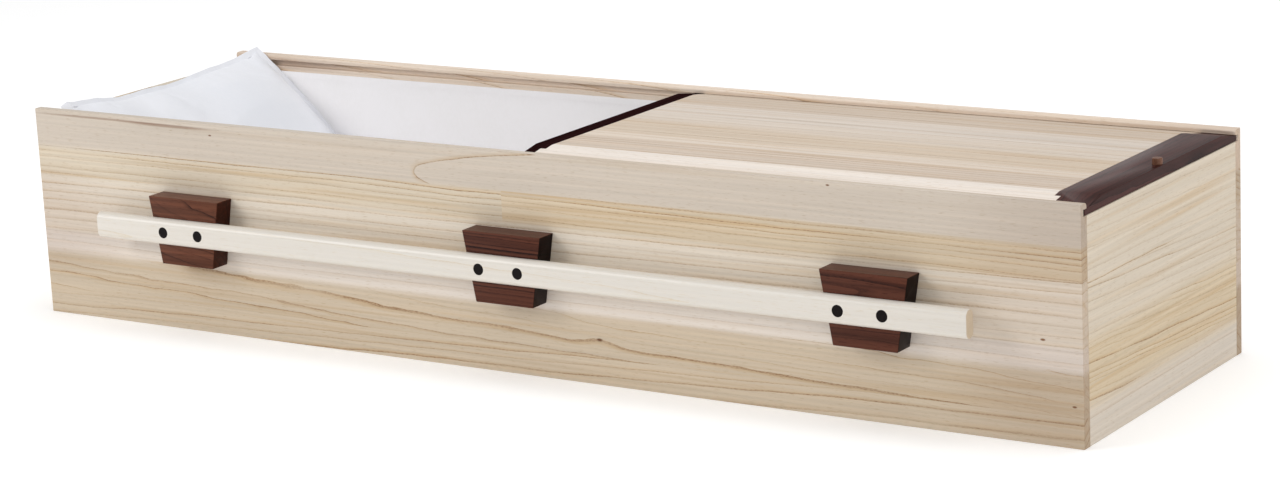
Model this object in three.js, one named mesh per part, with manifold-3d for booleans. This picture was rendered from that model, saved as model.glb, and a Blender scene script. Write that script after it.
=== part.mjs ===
// A plain wooden coffin: a rectangular box of pale boards with a half lid that slides in grooves
// along the side boards, long carrying rails on dark blocks, a cloth lining and a pillow.
// Millimetres, +Z up. +X runs from head to foot, -Y is the front, and Z = 0 is the floor.

import * as THREE from 'three';
import { mergeVertices } from 'three/addons/utils/BufferGeometryUtils.js';
import Module from 'manifold-3d';

// Box
const LENGTH = 2000;
const WIDTH = 566;
const HEIGHT = 364;
const BOARD = 19;
const LIP_HEIGHT = 9;
const LIP_ROUND = 5;
const GROOVE_HEIGHT = 10;
const GROOVE_DEPTH = 10;
const EDGE_EASE = 1.2;

// Lid
const LID_HEAD_X = 9;
const LID_FOOT_X = 999;
const LID_FLAT_HALF_WIDTH = 211.5;
const LID_BEVEL_GAP = 1.3;
const LID_TONGUE_REACH = 5.5;
const LID_TONGUE_THICK = 9.4;
const LID_RUNNING_GAP = 0.3;
const MIDDLE_BATTEN_WIDTH = 30;
const FOOT_BATTEN_WIDTH = 67;
const PANEL_TONGUE_LENGTH = 10;
const PANEL_TONGUE_SHOULDER = 3.3;
const PEG_DIAMETER = 16;
const PEG_PROUD = 10;
const PEG_INSET_FROM_FOOT = 10;
const PEG_CHAMFER = 1.2;
const PEG_SOCKET_FLOOR = 2;

// Handles
const HANDLE_CENTRE_X = 8;
const BLOCK_SPACING = 654;
const BLOCK_TOP_WIDTH = 150;
const BLOCK_FOOT_WIDTH = 110;
const BLOCK_BASE_Z = 124;
const BLOCK_HEIGHT = 116;
const BLOCK_DEPTH = 38.5;
const RAIL_LENGTH = 1670;
const RAIL_CENTRE_X = 4;
const RAIL_HEIGHT = 45;
const RAIL_THICKNESS = 23;
const RAIL_LET_IN = 10;
const RAIL_EASE = 1.5;
const PLUG_DIAMETER = 19;
const PLUG_SPACING = 75;
const PLUG_LENGTH = 12;

// Lining and pillow
const LINING_TOP_Z = 336;
const LINING_THICK = 1.6;
const PILLOW_LENGTH = 480;
const PILLOW_HALF_THICKNESS = 42;
const PILLOW_FLANGE = 5;
const PILLOW_SLOPE = THREE.MathUtils.degToRad(42.5);
const PILLOW_HEAD_X = -975;
const PILLOW_HEAD_Z = 348;
const PILLOW_CORNER_LIFT = 38;
const PILLOW_CELLS_ACROSS = 22;
const PILLOW_CELLS_ALONG = 16;

// Facets and fits
const JOINT_GAP = 0.3;
const ROUND_SEGMENTS = 24;
const ARC_SEGMENTS = 6;
const OVERCUT = 5;

// Worked-out sizes
const HALF_LENGTH = LENGTH / 2;
const HALF_WIDTH = WIDTH / 2;
const INNER_HALF_WIDTH = HALF_WIDTH - BOARD;
const INNER_HALF_LENGTH = HALF_LENGTH - BOARD;
const GROOVE_TOP_Z = HEIGHT - LIP_HEIGHT;
const END_TOP_Z = GROOVE_TOP_Z - GROOVE_HEIGHT;
const LID_UNDER_Z = END_TOP_Z + LID_RUNNING_GAP;
const LID_TONGUE_TOP_Z = LID_UNDER_Z + LID_TONGUE_THICK;
const PANEL_HEAD_X = LID_HEAD_X + MIDDLE_BATTEN_WIDTH;
const PANEL_FOOT_X = LID_FOOT_X - FOOT_BATTEN_WIDTH;
const BLOCK_FRONT_Y = HALF_WIDTH + BLOCK_DEPTH;
const RAIL_CENTRE_Y = BLOCK_FRONT_Y - RAIL_LET_IN + RAIL_THICKNESS / 2;
const RAIL_CENTRE_Z = BLOCK_BASE_Z + BLOCK_HEIGHT / 2;
const RAIL_FACE_Y = RAIL_CENTRE_Y + RAIL_THICKNESS / 2;

const paleWood = new THREE.MeshStandardMaterial({ color: 0xd8cbb7, roughness: 0.6, metalness: 0 });
const darkWood = new THREE.MeshStandardMaterial({ color: 0x4b2d26, roughness: 0.45, metalness: 0 });
const creamWood = new THREE.MeshStandardMaterial({ color: 0xeee6d7, roughness: 0.5, metalness: 0 });
const plugWood = new THREE.MeshStandardMaterial({ color: 0x140c0e, roughness: 0.4, metalness: 0 });
const liningCloth = new THREE.MeshStandardMaterial({ color: 0xe6e5e5, roughness: 0.9, metalness: 0 });
const pillowCloth = new THREE.MeshStandardMaterial({ color: 0xe4e6eb, roughness: 0.9, metalness: 0 });

const wasm = await Module();
wasm.setup();

const coffin = new THREE.Group();

// Adds one named piece.
function addPiece(name, geometry, material) {
  const mesh = new THREE.Mesh(geometry, material);
  mesh.name = name;
  coffin.add(mesh);
}

// Keeps only the positions of a geometry and joins the vertices that coincide.
function weld(geometry) {
  const bare = geometry.clone();
  bare.deleteAttribute('normal');
  bare.deleteAttribute('uv');
  return mergeVertices(bare, 1e-4);
}

function toSolid(geometry) {
  const welded = weld(geometry);
  const vertProperties = new Float32Array(welded.attributes.position.array);
  const triVerts = new Uint32Array(welded.index.array);
  return new wasm.Manifold(new wasm.Mesh({ numProp: 3, vertProperties, triVerts }));
}

function toGeometry(solid) {
  const mesh = solid.getMesh();
  const geometry = new THREE.BufferGeometry();
  geometry.setAttribute('position', new THREE.BufferAttribute(mesh.vertProperties, 3));
  geometry.setIndex(new THREE.BufferAttribute(mesh.triVerts, 1));
  geometry.computeVertexNormals();
  return geometry;
}

// A box between two corners.
function boxBetween(low, high) {
  const size = high.map((value, axis) => value - low[axis]);
  const centre = high.map((value, axis) => (value + low[axis]) / 2);
  return new THREE.BoxGeometry(...size).translate(...centre);
}

// Runs an outline drawn in (Y, Z) along X.
function alongX(outline, startX, endX) {
  const geometry = new THREE.ExtrudeGeometry(outline, {
    depth: endX - startX,
    bevelEnabled: false,
    curveSegments: ARC_SEGMENTS,
  });
  const turn = new THREE.Matrix4().makeBasis(
    new THREE.Vector3(0, 1, 0),
    new THREE.Vector3(0, 0, 1),
    new THREE.Vector3(1, 0, 0),
  );
  return geometry.applyMatrix4(turn).translate(startX, 0, 0);
}

// A round rod along Y, from one Y to another.
function rodAlongY(diameter, x, startY, endY, z) {
  const rod = new THREE.CylinderGeometry(diameter / 2, diameter / 2, endY - startY, ROUND_SEGMENTS);
  return rod.translate(x, (startY + endY) / 2, z);
}

// The same piece on the other side of the coffin, with its faces still pointing out.
function mirroredY(geometry) {
  const mirrored = weld(geometry).scale(1, -1, 1);
  const index = mirrored.index.array;
  for (let corner = 0; corner < index.length; corner += 3) {
    [index[corner], index[corner + 1]] = [index[corner + 1], index[corner]];
  }
  mirrored.computeVertexNormals();
  return mirrored;
}

// A piece of the front, and its twin at the back.
function addPair(stem, number, geometry, material) {
  const suffix = number === null ? '' : `_${number}`;
  addPiece(`${stem}_front${suffix}`, geometry, material);
  addPiece(`${stem}_back${suffix}`, mirroredY(geometry), material);
}

// Side board: eased outer edge, rounded lip, and the groove that the lid's tongue runs in.
function sideBoard() {
  const outline = new THREE.Shape();
  outline.moveTo(-HALF_WIDTH, 0);
  outline.lineTo(-INNER_HALF_WIDTH, 0);
  outline.lineTo(-INNER_HALF_WIDTH, END_TOP_Z);
  outline.lineTo(-INNER_HALF_WIDTH - GROOVE_DEPTH, END_TOP_Z);
  outline.lineTo(-INNER_HALF_WIDTH - GROOVE_DEPTH, GROOVE_TOP_Z);
  outline.lineTo(-INNER_HALF_WIDTH, GROOVE_TOP_Z);
  outline.lineTo(-INNER_HALF_WIDTH, HEIGHT - LIP_ROUND);
  outline.absarc(-INNER_HALF_WIDTH - LIP_ROUND, HEIGHT - LIP_ROUND, LIP_ROUND, 0, Math.PI / 2);
  outline.lineTo(-HALF_WIDTH + EDGE_EASE, HEIGHT);
  outline.lineTo(-HALF_WIDTH, HEIGHT - EDGE_EASE);
  outline.closePath();
  return alongX(outline, -HALF_LENGTH, HALF_LENGTH);
}

// End board at the foot, standing between the side boards, and its twin at the head.
function endBoard(innerX, outerX) {
  const low = [Math.min(innerX, outerX), -INNER_HALF_WIDTH, 0];
  const high = [Math.max(innerX, outerX), INNER_HALF_WIDTH, END_TOP_Z];
  return boxBetween(low, high);
}

function bottomBoard() {
  return boxBetween(
    [-INNER_HALF_LENGTH, -INNER_HALF_WIDTH, 0],
    [INNER_HALF_LENGTH, INNER_HALF_WIDTH, BOARD],
  );
}

// The lid's section across the coffin: flat top, wide bevels, and a tongue at each edge.
function lidOutline() {
  const bevelFoot = INNER_HALF_WIDTH - LID_BEVEL_GAP;
  const tongueTip = INNER_HALF_WIDTH + LID_TONGUE_REACH;
  return new THREE.Shape([
    new THREE.Vector2(-tongueTip, LID_UNDER_Z),
    new THREE.Vector2(tongueTip, LID_UNDER_Z),
    new THREE.Vector2(tongueTip, LID_TONGUE_TOP_Z),
    new THREE.Vector2(bevelFoot, LID_TONGUE_TOP_Z),
    new THREE.Vector2(LID_FLAT_HALF_WIDTH, HEIGHT),
    new THREE.Vector2(-LID_FLAT_HALF_WIDTH, HEIGHT),
    new THREE.Vector2(-bevelFoot, LID_TONGUE_TOP_Z),
    new THREE.Vector2(-tongueTip, LID_TONGUE_TOP_Z),
  ]);
}

function lidStretch(startX, endX) {
  return toSolid(alongX(lidOutline(), startX, endX));
}

// The slab between the two shoulders of the panel's end tongues, grown by a gap.
function tongueSlab(startX, endX, gap) {
  const reachY = HALF_WIDTH + OVERCUT;
  return toSolid(boxBetween(
    [startX, -reachY, LID_UNDER_Z + PANEL_TONGUE_SHOULDER - gap],
    [endX, reachY, HEIGHT - PANEL_TONGUE_SHOULDER + gap],
  ));
}

// Lid panel: the full section between the battens, and a tongue into each of them.
function lidPanel() {
  const startX = PANEL_HEAD_X - PANEL_TONGUE_LENGTH;
  const endX = PANEL_FOOT_X + PANEL_TONGUE_LENGTH;
  const tongues = lidStretch(startX, endX).intersect(tongueSlab(startX, endX, 0));
  const field = lidStretch(PANEL_HEAD_X + JOINT_GAP, PANEL_FOOT_X - JOINT_GAP);
  return toGeometry(field.add(tongues));
}

function middleBatten() {
  const groove = tongueSlab(
    PANEL_HEAD_X - PANEL_TONGUE_LENGTH - JOINT_GAP,
    PANEL_HEAD_X + OVERCUT,
    JOINT_GAP,
  );
  return toGeometry(lidStretch(LID_HEAD_X, PANEL_HEAD_X).subtract(groove));
}

function pegSpot() {
  return new THREE.Vector2(LID_FOOT_X - PEG_INSET_FROM_FOOT, 0);
}

function footBatten() {
  const groove = tongueSlab(
    PANEL_FOOT_X - OVERCUT,
    PANEL_FOOT_X + PANEL_TONGUE_LENGTH + JOINT_GAP,
    JOINT_GAP,
  );
  const socketRadius = PEG_DIAMETER / 2 + JOINT_GAP;
  const socketHeight = HEIGHT - LID_UNDER_Z - PEG_SOCKET_FLOOR + OVERCUT;
  const socket = new THREE.CylinderGeometry(socketRadius, socketRadius, socketHeight, ROUND_SEGMENTS)
    .rotateX(Math.PI / 2)
    .translate(pegSpot().x, pegSpot().y, LID_UNDER_Z + PEG_SOCKET_FLOOR + socketHeight / 2);
  const batten = lidStretch(PANEL_FOOT_X, LID_FOOT_X);
  return toGeometry(batten.subtract(groove).subtract(toSolid(socket)));
}

// Peg: a round rod with a chamfered top, standing in the foot batten.
function lidPeg() {
  const radius = PEG_DIAMETER / 2;
  const footZ = LID_UNDER_Z + PEG_SOCKET_FLOOR + JOINT_GAP;
  const topZ = HEIGHT + PEG_PROUD;
  const profile = [
    new THREE.Vector2(0, footZ),
    new THREE.Vector2(radius, footZ),
    new THREE.Vector2(radius, topZ - PEG_CHAMFER),
    new THREE.Vector2(radius - PEG_CHAMFER, topZ),
    new THREE.Vector2(0, topZ),
  ];
  return new THREE.LatheGeometry(profile, ROUND_SEGMENTS)
    .rotateX(Math.PI / 2)
    .translate(pegSpot().x, pegSpot().y, 0);
}

// Rail section with fully rounded upper and lower edges, drawn in (Y, Z) and grown by a gap.
function railOutline(grow) {
  const radius = RAIL_THICKNESS / 2 + grow;
  const straight = RAIL_HEIGHT / 2 - RAIL_THICKNESS / 2;
  const outline = new THREE.Shape();
  outline.absarc(-RAIL_CENTRE_Y, RAIL_CENTRE_Z + straight, radius, 0, Math.PI);
  outline.absarc(-RAIL_CENTRE_Y, RAIL_CENTRE_Z - straight, radius, Math.PI, 2 * Math.PI);
  outline.closePath();
  return outline;
}

function plugCentres() {
  const centres = [];
  for (const step of [-1, 0, 1]) {
    for (const side of [-1, 1]) {
      centres.push(HANDLE_CENTRE_X + step * BLOCK_SPACING + (side * PLUG_SPACING) / 2);
    }
  }
  return centres;
}

// Rail: the rounded section along the coffin, with eased ends and a socket for each plug.
function handleRail() {
  const startX = RAIL_CENTRE_X - RAIL_LENGTH / 2;
  const endX = RAIL_CENTRE_X + RAIL_LENGTH / 2;
  const body = toSolid(alongX(railOutline(0), startX + RAIL_EASE, endX - RAIL_EASE));
  const core = toSolid(alongX(railOutline(-RAIL_EASE), startX, endX));
  let rail = body.add(core);
  for (const x of plugCentres()) {
    const socket = rodAlongY(
      PLUG_DIAMETER + 2 * JOINT_GAP,
      x,
      -RAIL_FACE_Y - OVERCUT,
      -RAIL_FACE_Y + PLUG_LENGTH + JOINT_GAP,
      RAIL_CENTRE_Z,
    );
    rail = rail.subtract(toSolid(socket));
  }
  return toGeometry(rail);
}

// Block: a slab that tapers towards its foot, hollowed at the front to take the rail.
function handleBlock(centreX) {
  const outline = new THREE.Shape([
    new THREE.Vector2(-BLOCK_FOOT_WIDTH / 2, 0),
    new THREE.Vector2(BLOCK_FOOT_WIDTH / 2, 0),
    new THREE.Vector2(BLOCK_TOP_WIDTH / 2, BLOCK_HEIGHT),
    new THREE.Vector2(-BLOCK_TOP_WIDTH / 2, BLOCK_HEIGHT),
  ]);
  const turn = new THREE.Matrix4().makeBasis(
    new THREE.Vector3(1, 0, 0),
    new THREE.Vector3(0, 0, 1),
    new THREE.Vector3(0, -1, 0),
  );
  const slab = new THREE.ExtrudeGeometry(outline, { depth: BLOCK_DEPTH, bevelEnabled: false })
    .applyMatrix4(turn)
    .translate(centreX, -HALF_WIDTH, BLOCK_BASE_Z);
  const housing = alongX(railOutline(JOINT_GAP), centreX - BLOCK_TOP_WIDTH, centreX + BLOCK_TOP_WIDTH);
  return toGeometry(toSolid(slab).subtract(toSolid(housing)));
}

function railPlug(x) {
  return rodAlongY(PLUG_DIAMETER, x, -RAIL_FACE_Y, -RAIL_FACE_Y + PLUG_LENGTH, RAIL_CENTRE_Z);
}

// Lining: an open cloth box just inside the boards.
function liningBox() {
  const reachX = INNER_HALF_LENGTH - JOINT_GAP;
  const reachY = INNER_HALF_WIDTH - JOINT_GAP;
  const footZ = BOARD + JOINT_GAP;
  const outside = boxBetween([-reachX, -reachY, footZ], [reachX, reachY, LINING_TOP_Z]);
  const inside = boxBetween(
    [-reachX + LINING_THICK, -reachY + LINING_THICK, footZ + LINING_THICK],
    [reachX - LINING_THICK, reachY - LINING_THICK, LINING_TOP_Z + OVERCUT],
  );
  return toGeometry(toSolid(outside).subtract(toSolid(inside)));
}

// Pillow: a soft slab with a thin seam all round, leaning from the head board down to the bottom,
// its head corners pushed up by the side boards.
function pillowPad() {
  const pad = new THREE.BoxGeometry(2, 2, 2, PILLOW_CELLS_ACROSS, PILLOW_CELLS_ALONG, 1);
  const spots = pad.attributes.position;
  const halfWidth = INNER_HALF_WIDTH - LINING_THICK - 2 * JOINT_GAP;
  for (let i = 0; i < spots.count; i += 1) {
    const across = spots.getX(i);
    const along = spots.getY(i);
    const face = spots.getZ(i);
    const fullness = (1 - across ** 4) ** 0.75 * (1 - along ** 4) ** 0.75;
    const half = PILLOW_FLANGE / 2 + PILLOW_HALF_THICKNESS * fullness;
    const run = ((1 + along) / 2) * PILLOW_LENGTH;
    const lift = PILLOW_CORNER_LIFT * across ** 2 * ((1 - along) / 2);
    const normal = face * half + lift;
    spots.setXYZ(
      i,
      PILLOW_HEAD_X + run * Math.cos(PILLOW_SLOPE) + normal * Math.sin(PILLOW_SLOPE),
      -across * halfWidth,
      PILLOW_HEAD_Z - run * Math.sin(PILLOW_SLOPE) + normal * Math.cos(PILLOW_SLOPE),
    );
  }
  pad.computeVertexNormals();
  return pad;
}

addPair('side', null, sideBoard(), paleWood);
addPiece('end_head', endBoard(-INNER_HALF_LENGTH, -HALF_LENGTH), paleWood);
addPiece('end_foot', endBoard(INNER_HALF_LENGTH, HALF_LENGTH), paleWood);
addPiece('bottom', bottomBoard(), paleWood);
addPiece('lid_panel', lidPanel(), paleWood);
addPiece('lid_batten_middle', middleBatten(), darkWood);
addPiece('lid_batten_foot', footBatten(), darkWood);
addPiece('lid_peg', lidPeg(), darkWood);
[-1, 0, 1].forEach((step, place) => {
  addPair('handle_block', place + 1, handleBlock(HANDLE_CENTRE_X + step * BLOCK_SPACING), darkWood);
});
addPair('handle_rail', null, handleRail(), creamWood);
plugCentres().forEach((x, place) => {
  addPair('handle_plug', place + 1, railPlug(x), plugWood);
});
addPiece('lining', liningBox(), liningCloth);
addPiece('pillow', pillowPad(), pillowCloth);

export default coffin;
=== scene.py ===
# %% [markdown]
# # A plain wooden coffin with a sliding half lid
# The coffin is a long box of pale glued-up boards. A half lid slides in grooves along the
# sides, cream rails on dark blocks are the handles, and a white lining and a pillow lie inside.
# This lesson models each piece as one would by hand and gives it a procedural finish.
# All is in metres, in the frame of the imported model: +X runs from head to foot, the front is -Y
# and the floor is Z = 0.

# %% Load the frame
import math
from collections import namedtuple

import bmesh
import bpy
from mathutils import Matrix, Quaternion, Vector


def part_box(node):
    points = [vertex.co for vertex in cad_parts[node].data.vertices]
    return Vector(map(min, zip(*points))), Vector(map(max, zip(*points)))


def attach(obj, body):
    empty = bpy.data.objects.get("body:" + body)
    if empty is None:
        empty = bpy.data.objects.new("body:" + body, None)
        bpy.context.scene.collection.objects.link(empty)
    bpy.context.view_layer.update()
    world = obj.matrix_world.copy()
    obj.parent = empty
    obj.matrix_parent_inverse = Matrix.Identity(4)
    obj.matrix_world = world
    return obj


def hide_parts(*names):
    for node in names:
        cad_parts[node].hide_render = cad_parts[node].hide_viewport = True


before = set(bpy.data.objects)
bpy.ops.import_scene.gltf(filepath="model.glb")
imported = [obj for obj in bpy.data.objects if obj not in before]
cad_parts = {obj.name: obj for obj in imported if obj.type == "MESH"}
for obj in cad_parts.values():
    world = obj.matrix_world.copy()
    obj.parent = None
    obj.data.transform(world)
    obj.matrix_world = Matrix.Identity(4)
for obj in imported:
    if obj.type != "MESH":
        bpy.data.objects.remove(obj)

MM = 0.001
scene = bpy.context.scene
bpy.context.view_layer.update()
bpy.ops.object.select_all(action="DESELECT")

# %% [markdown]
# ## Camera
# The photograph looks down a little on the foot end and the front. A long lens from over five
# metres keeps the box's edges nearly parallel. The camera is placed by an aim point, a distance
# and two angles, because those are easy to correct one at a time.

# %% Camera
AIM = Vector((0.058, 0.0, 0.158))
DISTANCE = 5.64
AZIMUTH = math.radians(33.61)
ELEVATION = math.radians(13.64)
ROLL = math.radians(-2.78)
LENS = 96.12

back = Vector((
    math.sin(AZIMUTH) * math.cos(ELEVATION),
    -math.cos(AZIMUTH) * math.cos(ELEVATION),
    math.sin(ELEVATION),
))
bpy.ops.object.camera_add(location=AIM + back * DISTANCE)
camera = bpy.context.active_object
camera.name = "camera"
camera.data.lens = LENS
camera.rotation_mode = "QUATERNION"
camera.rotation_quaternion = (-back).to_track_quat("-Z", "Y") @ Quaternion((0, 0, 1), ROLL)
scene.camera = camera
print("camera at", [round(value, 3) for value in camera.location])

# %% [markdown]
# ## Floor and light
# The picture is high key: a white ground, and light from all round with one soft key from the
# upper left of the front. A white world gives the even light, and large area lamps give the
# soft shadows under the rail. A low one behind shines on whatever faces up, as a bright
# backdrop does. The paper on the floor glows a little, as on a light table, and the Standard
# view keeps white as white.

# %% Floor and light
FLOOR_SIZE = 40.0
PAPER_WHITE = (0.95, 0.95, 0.95, 1.0)
PAPER_GLOW = 0.2
PAPER_ROUGH = 0.9
PAPER_SHINE = 0.1
WORLD_STRENGTH = 0.52
Lamp = namedtuple("Lamp", "name place aim size watts")
LAMPS = [
    Lamp("key_lamp", (-4.2, -4.6, 3.4), (0.0, 0.0, 0.2), 3.0, 150.0),
    Lamp("fill_lamp", (3.4, -5.0, 3.0), (0.3, 0.0, 0.2), 2.5, 34.0),
    Lamp("end_lamp", (6.0, 0.4, 3.0), (1.0, 0.0, 0.2), 2.6, 55.0),
    Lamp("top_lamp", (0.6, 0.8, 6.0), (0.3, 0.0, 0.3), 4.0, 120.0),
    Lamp("back_lamp", (-3.2, 5.0, 1.6), (0.0, 0.0, 0.3), 3.0, 14.0),
]


def add_lamp(lamp):
    """One square area lamp that points at a spot."""
    bpy.ops.object.light_add(type="AREA", location=lamp.place)
    light = bpy.context.active_object
    light.name = lamp.name
    light.rotation_euler = (Vector(lamp.aim) - Vector(lamp.place)).to_track_quat("-Z", "Y").to_euler()
    light.data.size = lamp.size
    light.data.energy = lamp.watts


scene.view_settings.view_transform = "Standard"
scene.world = bpy.data.worlds.new("studio")
scene.world.use_nodes = True
surround = scene.world.node_tree.nodes["Background"]
surround.inputs["Color"].default_value = (1.0, 1.0, 1.0, 1.0)
surround.inputs["Strength"].default_value = WORLD_STRENGTH
for lamp in LAMPS:
    add_lamp(lamp)

bpy.ops.mesh.primitive_plane_add(size=FLOOR_SIZE)
floor = bpy.context.active_object
floor.name = "floor"
paper = bpy.data.materials.new("floor_paper")
paper.use_nodes = True
paper_shader = paper.node_tree.nodes["Principled BSDF"].inputs
paper_shader["Base Color"].default_value = PAPER_WHITE
paper_shader["Roughness"].default_value = PAPER_ROUGH
paper_shader["Specular IOR Level"].default_value = PAPER_SHINE
paper_shader["Emission Color"].default_value = (1.0, 1.0, 1.0, 1.0)
paper_shader["Emission Strength"].default_value = PAPER_GLOW
floor.data.materials.append(paper)
print("floor", FLOOR_SIZE, "m square,", len(LAMPS), "lamps and a white world")

# %% [markdown]
# ## Building materials from nodes
# Every finish here is a small formula over the piece's own coordinates. A few short helpers
# keep those formulas readable: one adds a node and links its inputs, one does arithmetic, one
# blends colours and one makes a stretched noise.

# %% Node helpers
def colour(red, green, blue):
    """A screen colour, 0 to 255, as Blender's linear colour."""
    channels = []
    for value in (red, green, blue):
        share = value / 255
        channels.append(share / 12.92 if share <= 0.04045 else ((share + 0.055) / 1.055) ** 2.4)
    return (*channels, 1.0)


def add_node(tree, kind, inputs, **options):
    """Adds a node, sets its options, and links or sets each input."""
    node = tree.nodes.new(kind)
    for option, value in options.items():
        setattr(node, option, value)
    for key, value in inputs.items():
        if isinstance(value, bpy.types.NodeSocket):
            tree.links.new(value, node.inputs[key])
        else:
            node.inputs[key].default_value = value
    return node


def calc(tree, operation, *terms):
    """One step of arithmetic on values."""
    return add_node(tree, "ShaderNodeMath", dict(enumerate(terms)), operation=operation).outputs[0]


def fade(tree, value, start, end):
    """A smooth step from 0 at start to 1 at end."""
    inputs = {0: value, 1: start, 2: end, 3: 0.0, 4: 1.0}
    node = add_node(tree, "ShaderNodeMapRange", inputs, interpolation_type="SMOOTHSTEP")
    return node.outputs[0]


def blend(tree, share, below, above, how="MIX"):
    """Two colours blended by a share."""
    inputs = {0: share, 6: below, 7: above}
    return add_node(tree, "ShaderNodeMix", inputs, data_type="RGBA", blend_type=how).outputs[2]


def noise(tree, place, stretch, detail=2.0):
    """Noise between 0 and 1, with its own frequency along each axis."""
    inputs = {0: place, 1: stretch}
    scaled = add_node(tree, "ShaderNodeVectorMath", inputs, operation="MULTIPLY").outputs[0]
    inputs = {"Vector": scaled, "Scale": 1.0, "Detail": detail}
    return add_node(tree, "ShaderNodeTexNoise", inputs).outputs[0]


def new_group(name, inputs, outputs):
    """An empty shader node group, with its named sockets."""
    group = bpy.data.node_groups.new(name, "ShaderNodeTree")
    for label, kind in inputs.items():
        group.interface.new_socket(name=label, in_out="INPUT", socket_type="NodeSocket" + kind)
    for label, kind in outputs.items():
        group.interface.new_socket(name=label, in_out="OUTPUT", socket_type="NodeSocket" + kind)
    given = group.nodes.new("NodeGroupInput").outputs
    wanted = group.nodes.new("NodeGroupOutput").inputs
    return group, given, wanted


print("node helpers ready")

# %% [markdown]
# ## Wood that grows in rings
# Real boards are slices through a trunk, so straight lines, pointed loops and the arcs on end
# grain are all the same rings. An image could show only one face. Here the rings are computed
# as distance from a slanting heart line, swayed by noise, so every face of a board agrees.
# Each ring begins with a thin line of open pores, and the wood is warmest just outside it. A
# strip may be two lengths butted together: past the butt the rings and the tint change.

# %% The wood_grain group
LINE_CORE = 0.9 * MM
LINE_EDGE = 2.3 * MM
BLUSH_SHARE = 0.8
BLUSH_REACH = 8 * MM
LEAST_STEEP = 0.04
SLOW_SWAY = (1.5, 8.0, 8.0)
QUICK_SWAY = (12.0, 60.0, 60.0)
QUICK_SHARE = 0.22
SWAY_REACH = 4.0
UNEVEN_RINGS = 45.0
UNEVEN_REACH = 3.0
FAINTEST_RING = 0.2
STRETCHES = (3.5, 30.0, 30.0)
STRETCH_FADE = (0.3, 0.6)
FAINTEST_STRETCH = 0.4
PORES = (170.0, 700.0, 700.0)
PORE_FADE = (0.42, 0.62)
FAINTEST_PORE = 0.35
FIBRES = (60.0, 1000.0, 1000.0)
FIBRE_FADE = (0.6, 0.78)
FIBRE_HOLLOW = 0.5
STREAKS = (2.4, 210.0, 210.0)
STREAK_SHARE = 0.7
TAN_BANDS = (1.4, 75.0, 75.0)
TAN_FADE = (0.48, 0.74)
TAN_SHARE = 0.7
CLOUDS = (1.3, 16.0, 16.0)
WOOD_ROUGH = 0.5
FIBRE_ROUGH = 0.08
SEED_STEP = 3.7
BUTT_SEED = 7.0
BUTT_SHIFT = 5 * MM

wood_grain, given, wanted = new_group(
    "wood_grain",
    {
        "Place": "Vector", "Seed": "Float", "Heart across": "Float", "Heart depth": "Float",
        "Slope across": "Float", "Slope depth": "Float", "Ring": "Float", "Wander": "Float",
        "Strength": "Float", "Butt": "Float", "Swirl": "Float", "KnotAndShade": "Float", "End grain and shade": "Float",
        "Ground": "Color", "Butt tint": "Color", "Line tint": "Color", "Blush tint": "Color",
        "Fibre tint": "Color", "Knot and shade tint": "Color", "End grain and shade tint": "Color", "Cloud depth": "Float",
    },
    {"Colour": "Color", "Roughness": "Float", "Height": "Float"},
)


def ring_years(tree, given, spot, own_place, past_butt):
    """Rings between the heart line and a place, and how steeply they cross the board's face."""
    along, across, depth = spot
    slow = calc(tree, "SUBTRACT", noise(tree, own_place, SLOW_SWAY), 0.5)
    quick = calc(tree, "SUBTRACT", noise(tree, own_place, QUICK_SWAY), 0.5)
    sway = calc(tree, "MULTIPLY_ADD", quick, QUICK_SHARE, slow)
    sideways = calc(tree, "SUBTRACT", across, given["Heart across"])
    sideways = calc(tree, "SUBTRACT", sideways, calc(tree, "MULTIPLY", given["Slope across"], along))
    sideways = calc(tree, "MULTIPLY_ADD", past_butt, BUTT_SHIFT, sideways)
    deep = calc(tree, "SUBTRACT", depth, given["Heart depth"])
    deep = calc(tree, "SUBTRACT", deep, calc(tree, "MULTIPLY", given["Slope depth"], along))
    squares = calc(tree, "MULTIPLY_ADD", deep, deep, calc(tree, "MULTIPLY", sideways, sideways))
    radius = calc(tree, "SQRT", squares)
    leaning = calc(tree, "MULTIPLY", deep, given["Slope depth"])
    steep = calc(tree, "MULTIPLY_ADD", leaning, leaning, calc(tree, "MULTIPLY", sideways, sideways))
    steep = calc(tree, "DIVIDE", calc(tree, "SQRT", steep), radius)
    radius = calc(tree, "ADD", radius, given["Swirl"])
    radius = calc(tree, "MULTIPLY_ADD", sway, calc(tree, "MULTIPLY", given["Wander"], SWAY_REACH), radius)
    inputs = {"W": calc(tree, "ADD", radius, given["Seed"]), "Scale": UNEVEN_RINGS}
    uneven = add_node(tree, "ShaderNodeTexNoise", inputs, noise_dimensions="1D").outputs[0]
    uneven = calc(tree, "MULTIPLY", uneven, calc(tree, "MULTIPLY", given["Wander"], UNEVEN_REACH))
    years = calc(tree, "DIVIDE", calc(tree, "ADD", radius, uneven), given["Ring"])
    return years, calc(tree, "MAXIMUM", steep, LEAST_STEEP)


def at_least(tree, least, value):
    """A value from 0 to 1 squeezed into the range from the least to 1."""
    return calc(tree, "MULTIPLY_ADD", value, 1 - least, least)


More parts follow.
